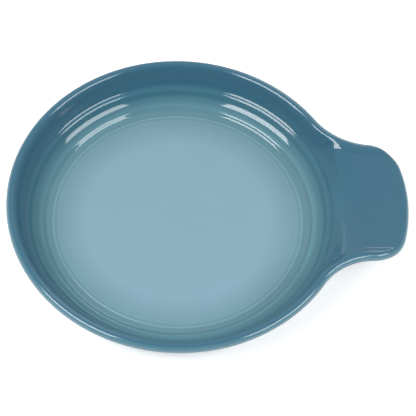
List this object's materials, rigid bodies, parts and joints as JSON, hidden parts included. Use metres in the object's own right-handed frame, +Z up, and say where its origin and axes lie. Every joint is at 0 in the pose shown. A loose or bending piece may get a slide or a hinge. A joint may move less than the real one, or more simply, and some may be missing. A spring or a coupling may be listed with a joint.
{
  "type": "spoon rest",
  "caption": "Round glazed stoneware spoon rest with a ringed inner wall, a pale floor and a broad tab handle troughed for the spoon.",
  "frame": {"origin": "on the table, under the middle of the whole length (dish and tab), on the plane of symmetry", "axes": "+Z up from the table, +X from the dish towards the tab's end, +Y across"},
  "size_m": [0.1526, 0.1298, 0.0205],
  "materials": {
    "bare_clay": "matt",
    "pale_glaze": "gloss",
    "blue_glaze": "gloss"
  },
  "bodies": {
    "root": {"stoneware_body": "bare_clay", "well_glaze": "pale_glaze", "wall_glaze": "blue_glaze", "outer_glaze": "blue_glaze", "base_glaze": "blue_glaze"}
  },
  "joints": []
}
